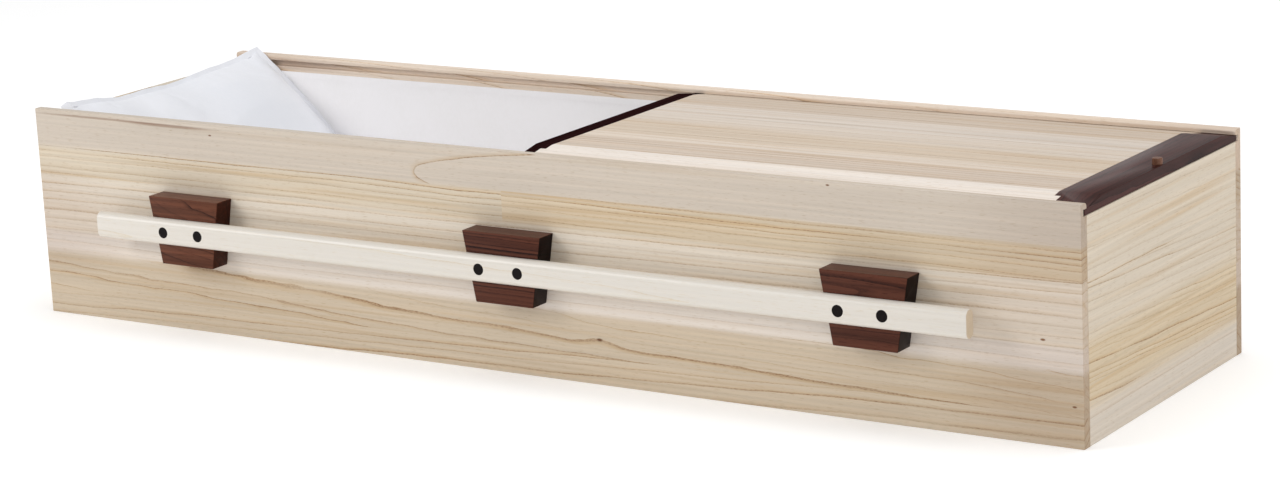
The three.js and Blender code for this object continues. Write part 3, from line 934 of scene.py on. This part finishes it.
# %% End boards and bottom
LONG_EDGE = 0.1
END_EASE = 0.4 * MM


def model_plain_board(name, node):
    low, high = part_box(node)
    board = add_cube(name, low, high)
    start_edit(board)
    long_edges = pick("edges", lambda edge: edge.calc_length() > LONG_EDGE)
    bpy.ops.mesh.bevel(offset=BOARD_EASE, segments=3, affect="EDGES")
    end_edit()
    ease_edges(board, END_EASE)
    print(name, "has", long_edges, "long edges rounded")
    return board


PLAIN_BOARDS = [
    ("board_end_foot", "end_foot", board_foot),
    ("board_end_head", "end_head", board_head),
    ("board_bottom", "bottom", board_bottom),
]
for name, node, finish in PLAIN_BOARDS:
    settle(model_plain_board(name, node), "box", node, finish)

# %% [markdown]
# ## Lid panel
# The lid is a raised panel: flat in the middle, with a wide bevel and a tongue along each long
# edge. As with the sides, its section is drawn and run along X. Its ends then get a tongue by
# extruding the middle layer of each end face, and that tongue enters the battens.

# %% Lid panel
JOINT_GAP = 0.3 * MM
BEVEL_TOP_Y = 211.5 * MM
BEVEL_FOOT_Y = 262.7 * MM
TONGUE_TOP_Z = 354.7 * MM
SHOULDER = 3.3 * MM
TONGUE_LENGTH = 10 * MM
LID_EASE = 0.5 * MM
middle_low, middle_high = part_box("lid_batten_middle")
foot_low, foot_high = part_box("lid_batten_foot")
tongue_low_z = lid_low.z + SHOULDER
tongue_high_z = lid_high.z - SHOULDER


def model_lid_stretch(name, start_x, end_x):
    """The lid's section, run from one X to another."""
    stretch = add_section(name, start_x, (lid_low.y, lid_low.z), (lid_high.y, lid_high.z))
    start_edit(stretch)
    for y in (-BEVEL_FOOT_Y, -BEVEL_TOP_Y, BEVEL_TOP_Y, BEVEL_FOOT_Y):
        saw((0, y, 0), (0, 1, 0))
    push(
        "verts",
        lambda vert: vert.co.z > TONGUE_TOP_Z and abs(vert.co.y) > BEVEL_TOP_Y + MM,
        (0, 0, TONGUE_TOP_Z - lid_high.z),
    )
    bpy.ops.mesh.select_all(action="SELECT")
    bpy.ops.mesh.dissolve_limited(angle_limit=FLAT_ANGLE)
    bpy.ops.mesh.select_all(action="SELECT")
    bpy.ops.mesh.extrude_region_move(TRANSFORM_OT_translate={"value": (end_x - start_x, 0, 0)})
    end_edit()
    return stretch


def model_lid_panel():
    start_x = middle_high.x + JOINT_GAP
    end_x = foot_low.x - JOINT_GAP
    panel = model_lid_stretch("lid_field", start_x, end_x)
    start_edit(panel)
    saw((0, 0, tongue_low_z), (0, 0, 1))
    saw((0, 0, tongue_high_z), (0, 0, 1))
    for x, way in ((start_x, -1), (end_x, 1)):
        pick("faces", lambda face: (
            abs(middle(face).x - x) < TOUCH and tongue_low_z < middle(face).z < tongue_high_z
        ))
        move = {"value": (way * (TONGUE_LENGTH + JOINT_GAP), 0, 0)}
        bpy.ops.mesh.extrude_region_move(TRANSFORM_OT_translate=move)
    end_edit()
    ease_edges(panel, LID_EASE)
    return panel


lid_panel = model_lid_panel()
settle(lid_panel, "lid", "lid_panel", board_lid)
print("lid panel:", len(lid_panel.data.polygons), "faces")

# %% [markdown]
# ## Battens and peg
# A dark batten across each end keeps the panel flat. It has the lid's own section, and a router
# groove takes the panel's tongue, which shows at the bevelled ends. A Boolean cut does the work
# of the router, because the groove runs out through the ends. The peg is a turned rod with a
# rounded top in a drilled socket.

# %% Battens and peg
peg_low, peg_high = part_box("lid_peg")
peg_centre = (peg_low + peg_high) / 2
PEG_ROUND = 1.6 * MM
PEG_EASE = 0.3 * MM
BATTEN_EASE = 0.8 * MM
CLEAR = 5 * MM


def tongue_cutter(start_x, end_x):
    return add_cube(
        "router",
        (start_x, lid_low.y - CLEAR, tongue_low_z - JOINT_GAP),
        (end_x, lid_high.y + CLEAR, tongue_high_z + JOINT_GAP),
    )


def model_middle_batten():
    batten = model_lid_stretch("batten_middle", middle_low.x, middle_high.x)
    ease_edges(batten, BATTEN_EASE)
    cut_away(batten, tongue_cutter(middle_high.x - TONGUE_LENGTH - JOINT_GAP, middle_high.x + CLEAR))
    return batten


def model_foot_batten():
    batten = model_lid_stretch("batten_foot", foot_low.x, foot_high.x)
    ease_edges(batten, BATTEN_EASE)
    cut_away(batten, tongue_cutter(foot_low.x - CLEAR, foot_low.x + TONGUE_LENGTH + JOINT_GAP))
    socket_foot = (peg_centre.x, peg_centre.y, peg_low.z - JOINT_GAP)
    socket_top = (peg_centre.x, peg_centre.y, peg_high.z + CLEAR)
    radius = (peg_high.x - peg_low.x) / 2 + JOINT_GAP
    cut_away(batten, add_rod("drill", radius, socket_foot, socket_top, "Z"))
    return batten


def model_peg():
    foot = (peg_centre.x, peg_centre.y, peg_low.z)
    top = (peg_centre.x, peg_centre.y, peg_high.z)
    peg = add_rod("peg_turned", (peg_high.x - peg_low.x) / 2, foot, top, "Z")
    start_edit(peg)
    pick("edges", lambda edge: all(abs(vert.co.z - peg_high.z) < TOUCH for vert in edge.verts))
    bpy.ops.mesh.bevel(offset=PEG_ROUND, segments=5, affect="EDGES")
    end_edit()
    ease_edges(peg, PEG_EASE, angle=60)
    return peg


settle(model_middle_batten(), "lid", "lid_batten_middle", middle_walnut)
settle(model_foot_batten(), "lid", "lid_batten_foot", batten_walnut)
settle(model_peg(), "lid", "lid_peg", peg_walnut)
print("battens run from", round(middle_low.x, 3), "and to", round(foot_high.x, 3))

# %% [markdown]
# ## Rails and plugs
# A rail is a flat bar with fully rounded edges that a hand closes round. A cube gets its four
# long edges bevelled to almost half its thickness, then the ends are eased. The sockets are
# drilled, and one plug with a softened rim is copied into each.

# %% Rails and plugs
rail_low, rail_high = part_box("handle_rail_front")
RAIL_ROUND = 11.3 * MM
RAIL_EASE = 1.6 * MM
PLUG_COUNT = 6
PLUG_PROUD = 0.15 * MM
PLUG_DOME = 0.15 * MM
PLUG_RIM = 0.8 * MM
PLUG_ROOM = 0.1 * MM
PLUG_EASE = 0.3 * MM
plug_boxes = [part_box(f"handle_plug_front_{number}") for number in range(1, PLUG_COUNT + 1)]
plug_centres = [(low + high) / 2 for low, high in plug_boxes]
plug_radius = (plug_boxes[0][1].x - plug_boxes[0][0].x) / 2
plug_back_y = plug_boxes[0][1].y


def model_rail(name, grow=0.0):
    """The rail, or with some growth the cutter for its housing."""
    room = Vector((grow, grow, grow))
    rail = add_cube(name, rail_low - room, rail_high + room)
    start_edit(rail)
    pick("edges", lambda edge: edge.calc_length() > LONG_EDGE)
    bpy.ops.mesh.bevel(offset=RAIL_ROUND + grow, segments=10, affect="EDGES")
    end_edit()
    return rail


def model_front_rail():
    rail = model_rail("rail_front")
    ease_edges(rail, RAIL_EASE, segments=3, angle=50)
    for centre in plug_centres:
        mouth = (centre.x, rail_low.y - CLEAR, centre.z)
        floor_of_socket = (centre.x, plug_back_y + JOINT_GAP, centre.z)
        cut_away(rail, add_rod("drill", plug_radius + PLUG_ROOM, mouth, floor_of_socket, "Y"))
    return rail


def model_plug():
    centre = plug_centres[0]
    face_y = rail_low.y - PLUG_PROUD
    plug = add_rod(
        "plug_front_1", plug_radius, (centre.x, face_y, centre.z), (centre.x, plug_back_y, centre.z), "Y"
    )
    start_edit(plug)
    pick("faces", lambda face: face.normal.y < -FACING)
    bpy.ops.mesh.inset(thickness=PLUG_RIM)
    bpy.ops.transform.translate(value=(0, -PLUG_DOME, 0))
    end_edit()
    ease_edges(plug, PLUG_EASE, angle=60)
    return plug


rail_front = model_front_rail()
rail_back = mirror_of(rail_front, "rail_back")
settle(rail_front, "box", "handle_rail_front", cream)
settle(rail_back, "box", "handle_rail_back", cream)
first_plug = model_plug()
for number, centre in enumerate(plug_centres, start=1):
    plug = first_plug
    if number > 1:
        plug = copy_of(first_plug, f"plug_front_{number}", centre - plug_centres[0])
    twin = mirror_of(plug, f"plug_back_{number}")
    settle(plug, "box", f"handle_plug_front_{number}", ebony)
    settle(twin, "box", f"handle_plug_back_{number}", ebony)
print("two rails,", 2 * PLUG_COUNT, "plugs")

# %% [markdown]
# ## Handle blocks
# Each rail sits in three dark blocks that are wider at the top. A cube's lower face is scaled in
# edit mode to give the taper, the edges are eased, and the rail itself, grown by a hair, cuts
# its own rounded housing. One block is modelled and the others are copies.

# %% Handle blocks
block_low, block_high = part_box("handle_block_front_1")
BLOCK_COUNT = 3
BLOCK_TAPER = 110 / 150
BLOCK_EASE = 1.4 * MM
block_places = [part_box(f"handle_block_front_{number}")[0] for number in range(1, BLOCK_COUNT + 1)]


def model_block():
    block = add_cube("block_front_1", block_low, block_high)
    start_edit(block)
    pick("faces", lambda face: face.normal.z < -FACING)
    centre = (block_low + block_high) / 2
    bpy.ops.transform.resize(value=(BLOCK_TAPER, 1, 1), center_override=(centre.x, centre.y, block_low.z))
    end_edit()
    ease_edges(block, BLOCK_EASE, segments=3)
    cut_away(block, model_rail("housing_cutter", JOINT_GAP))
    return block


first_block = model_block()
for number, place in enumerate(block_places, start=1):
    block = first_block
    if number > 1:
        block = copy_of(first_block, f"block_front_{number}", place - block_places[0])
    twin = mirror_of(block, f"block_back_{number}")
    figure = block_walnuts[number - 1]
    settle(block, "box", f"handle_block_front_{number}", figure)
    settle(twin, "box", f"handle_block_back_{number}", figure)
print(2 * BLOCK_COUNT, "blocks, each", [round(side, 4) for side in block_high - block_low])

# %% [markdown]
# ## Lining
# The lining is one cloth cut like a cross and folded up against the four walls, with a turned
# hem along its top. An open cube with softened corners is that folded shape. The hem is made by
# extruding the top edge inwards and down again. A cloud texture pushes soft unevenness into it,
# always inwards, so the cloth never enters the boards.

# %% Lining
lining_low, lining_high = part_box("lining")
LINING_CORNER = 10 * MM
LINING_CELL = 40 * MM
HEM_DROP = 11 * MM
HEM_STEP = 1.6 * MM
CLOTH_THICK = 0.8 * MM
PUCKER = 3.5 * MM
PUCKER_SIZE = 0.16
PUCKER_DETAIL = 3
PUCKER_BELOW = 2 * HEM_DROP
PUCKER_BLEND = 4 * HEM_DROP
LINING_ROOM = Vector((0.2 * MM, 0.2 * MM, 0))
CLOTH_ANGLE = math.radians(50)
hem_z = lining_high.z


def at_top(edge):
    return all(abs(vert.co.z - hem_z) < TOUCH for vert in edge.verts)


def model_lining_fold():
    cloth = add_cube("lining_cloth", lining_low + LINING_ROOM, lining_high - LINING_ROOM)
    start_edit(cloth)
    pick("faces", lambda face: face.normal.z > FACING)
    bpy.ops.mesh.delete(type="FACE")
    pick("edges", lambda edge: not at_top(edge))
    bpy.ops.mesh.bevel(offset=LINING_CORNER, segments=3, affect="EDGES")
    end_edit()
    return cloth


def cut_into_cells(cloth):
    start_edit(cloth)
    for axis in range(3):
        span = lining_high[axis] - lining_low[axis]
        count = max(2, round(span / LINING_CELL))
        normal = [0, 0, 0]
        normal[axis] = 1
        for step in range(1, count):
            spot = [0, 0, 0]
            spot[axis] = lining_low[axis] + span * step / count
            saw(spot, normal)
    end_edit()


def turn_hem(cloth):
    start_edit(cloth)
    pick("edges", at_top)
    half = (lining_high - lining_low) / 2
    shrink = (1 - HEM_STEP / half.x, 1 - HEM_STEP / half.y, 1)
    bpy.ops.mesh.extrude_edges_move()
    bpy.ops.transform.resize(value=shrink, center_override=(0, 0, hem_z))
    bpy.ops.mesh.extrude_edges_move(TRANSFORM_OT_translate={"value": (0, 0, -HEM_DROP)})
    bpy.ops.object.mode_set(mode="OBJECT")


def pucker(cloth):
    free = cloth.vertex_groups.new(name="free")
    for vert in cloth.data.vertices:
        below = (hem_z - vert.co.z - PUCKER_BELOW) / PUCKER_BLEND
        free.add([vert.index], min(1.0, max(0.0, below)), "REPLACE")
    clouds = bpy.data.textures.new("cloth_clouds", "CLOUDS")
    clouds.noise_scale = PUCKER_SIZE
    clouds.noise_depth = PUCKER_DETAIL
    apply_modifier(
        cloth, "DISPLACE", texture=clouds, strength=-PUCKER, mid_level=0.0, vertex_group="free",
        texture_coords="LOCAL",
    )


lining = model_lining_fold()
cut_into_cells(lining)
apply_modifier(lining, "SUBSURF", subdivision_type="SIMPLE", levels=1, render_levels=1)
turn_hem(lining)
pucker(lining)
apply_modifier(lining, "SOLIDIFY", thickness=CLOTH_THICK, offset=-1)
make_active(lining)
bpy.ops.object.shade_smooth_by_angle(angle=CLOTH_ANGLE)
settle(lining, "box", "lining", lining_cotton)

# %% [markdown]
# ## Pillow
# The pillow leans from the head board down to the bottom and bows upwards a little. A narrow
# seam edge runs all round it, waves at the head and folds down at the front, and the sides push
# its head corners up. A subdivided cube is shaped to a slack cushion first. Voxel remeshing
# gives it even cells, and a short cloth simulation under pressure with the seam pinned fills
# it, so the creases near the seam come by themselves.

# %% Pillow shape
pillow_low, pillow_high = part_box("pillow")
PILLOW_HEAD = Vector((-0.975, 0.0, 0.348))
PILLOW_SLOPE = math.radians(PILLOW_TILT)
PILLOW_LENGTH = 480 * MM
PILLOW_HALF_WIDTH = pillow_high.y
PILLOW_HALF_THICK = 34 * MM
PILLOW_EDGE_HALF = 2.5 * MM
PILLOW_CORNER_LIFT = 38 * MM
PILLOW_ARCH = 16 * MM
PILLOW_WAVE = 3 * MM
WAVE_RATE = 11
WAVE_START = 0.6
WAVE_FADE = 4
PLUMP_REACH = 4
PLUMP_ROUND = 0.75
PILLOW_FOLD = 13 * MM
SEAM_WIDTH = 8 * MM
PILLOW_CUTS = 31
seam_across = 1 - SEAM_WIDTH / PILLOW_HALF_WIDTH
seam_along = 1 - 2 * SEAM_WIDTH / PILLOW_LENGTH


def pillow_point(across, along, offset):
    """A place in the pillow: across and along from -1 to 1, and off its waving middle sheet."""
    run = (1 + along) / 2 * PILLOW_LENGTH
    near_head = (1 - along) / 2
    lift = PILLOW_CORNER_LIFT * across ** 2 * near_head * (2 - near_head)
    arch = PILLOW_ARCH * math.sin(math.pi * near_head)
    wave = PILLOW_WAVE * math.sin(WAVE_RATE * across + WAVE_START) * near_head ** WAVE_FADE
    fold = PILLOW_FOLD * max(0.0, across - seam_across) / (1 - seam_across)
    off = offset + lift + arch + wave - fold
    return Vector((
        PILLOW_HEAD.x + run * math.cos(PILLOW_SLOPE) + off * math.sin(PILLOW_SLOPE),
        -across * PILLOW_HALF_WIDTH,
        PILLOW_HEAD.z - run * math.sin(PILLOW_SLOPE) + off * math.cos(PILLOW_SLOPE),
    ))


def fullness(across, along):
    """How plump the pillow is there, 0 at the seam and 1 in the middle."""
    return max(0.0, (1 - across ** PLUMP_REACH) * (1 - along ** PLUMP_REACH)) ** PLUMP_ROUND


def model_pillow_body():
    body = add_cube("pillow_cushion", (-1, -1, -1), (1, 1, 1))
    start_edit(body)
    bpy.ops.mesh.subdivide(number_cuts=PILLOW_CUTS)
    end_edit()
    for vert in body.data.vertices:
        across, along, face = vert.co
        half = PILLOW_EDGE_HALF + PILLOW_HALF_THICK * fullness(across, along)
        vert.co = pillow_point(across * seam_across, along * seam_along, face * half)
    start_edit(body)
    end_edit()
    return body


pillow = model_pillow_body()
print("slack pillow", [round(side, 3) for side in pillow.dimensions])

# %% Pillow filling
VOXEL = 6 * MM
CLOTH = {
    "quality": 6, "mass": 0.2, "tension_stiffness": 12, "compression_stiffness": 12,
    "bending_stiffness": 2.0, "shrink_min": -0.01, "use_pressure": True,
    "uniform_pressure_force": 4.0, "vertex_group_mass": "seam",
}
LAST_FRAME = 20
MOST_MOVE = 8 * MM
PIN_START = 0.97
PIN_BLEND = 0.02
SMOOTH_SHARE = 0.5
SMOOTH_ROUNDS = 4


def near_seam(point):
    """The share of pinning: 1 on the pillow's rim, 0 away from it."""
    across = abs(point.y) / (PILLOW_HALF_WIDTH * seam_across)
    run = (PILLOW_HEAD.z - point.z) * math.sin(PILLOW_SLOPE)
    run += (point.x - PILLOW_HEAD.x) * math.cos(PILLOW_SLOPE)
    along = abs(run / PILLOW_LENGTH * 2 - 1) / seam_along
    rim = max(across, along)
    return min(1.0, max(0.0, (rim - PIN_START) / PIN_BLEND))


def fill(cushion):
    """Blows the slack shape up with a short cloth simulation and keeps the result."""
    start = [vert.co.copy() for vert in cushion.data.vertices]
    seam = cushion.vertex_groups.new(name="seam")
    for vert in cushion.data.vertices:
        seam.add([vert.index], near_seam(vert.co), "REPLACE")
    cloth = cushion.modifiers.new("cloth", "CLOTH")
    for setting, value in CLOTH.items():
        setattr(cloth.settings, setting, value)
    cloth.settings.effector_weights.gravity = 0
    for number in range(1, LAST_FRAME + 1):
        scene.frame_set(number)
    make_active(cushion)
    bpy.ops.object.modifier_apply(modifier="cloth")
    scene.frame_set(1)
    for vert, before in zip(cushion.data.vertices, start):
        move = vert.co - before
        if move.length > MOST_MOVE:
            vert.co = before + move * (MOST_MOVE / move.length)
    cushion.vertex_groups.clear()


apply_modifier(pillow, "REMESH", mode="VOXEL", voxel_size=VOXEL)
fill(pillow)
apply_modifier(pillow, "SMOOTH", factor=SMOOTH_SHARE, iterations=SMOOTH_ROUNDS)
apply_modifier(pillow, "SUBSURF", levels=1, render_levels=1)
make_active(pillow)
bpy.ops.object.shade_smooth()
print("pillow cushion:", len(pillow.data.polygons), "faces")

# %% [markdown]
# ## Pillow seam
# The two halves of the cover are sewn a finger's breadth inside their edge, which leaves a flat
# flange all round. It is far thinner than a voxel, so it is made after the filling: a grid with
# its middle deleted, bent to the pillow's middle sheet, thickened and joined to the cushion.

# %% Pillow seam
SEAM_CELLS_ACROSS = 120
SEAM_CELLS_ALONG = 110
SEAM_THICK = 2.2 * MM
SEAM_INSIDE = 0.95
SEAM_RIPPLE = 0.7 * MM
RIPPLE_ACROSS = 37
RIPPLE_ALONG = 41


def model_seam():
    bpy.ops.object.select_all(action="DESELECT")
    bpy.ops.mesh.primitive_grid_add(
        x_subdivisions=SEAM_CELLS_ACROSS, y_subdivisions=SEAM_CELLS_ALONG, size=2
    )
    seam = bpy.context.active_object
    seam.name = "pillow_seam"
    start_edit(seam)
    pick("faces", lambda face: max(abs(middle(face).x), abs(middle(face).y)) < SEAM_INSIDE)
    bpy.ops.mesh.delete(type="FACE")
    bpy.ops.object.mode_set(mode="OBJECT")
    for vert in seam.data.vertices:
        across, along = vert.co.xy
        ripple = SEAM_RIPPLE * math.sin(RIPPLE_ACROSS * across) * math.sin(RIPPLE_ALONG * along + 1)
        vert.co = pillow_point(across, along, ripple)
    apply_modifier(seam, "SOLIDIFY", thickness=SEAM_THICK, offset=0)
    make_active(seam)
    bpy.ops.object.shade_smooth_by_angle(angle=CLOTH_ANGLE)
    return seam


seam = model_seam()
make_active(pillow)
seam.select_set(True)
bpy.ops.object.join()
settle(pillow, "box", "pillow", pillow_cotton)
print("pillow with seam", [round(side, 3) for side in pillow.dimensions])
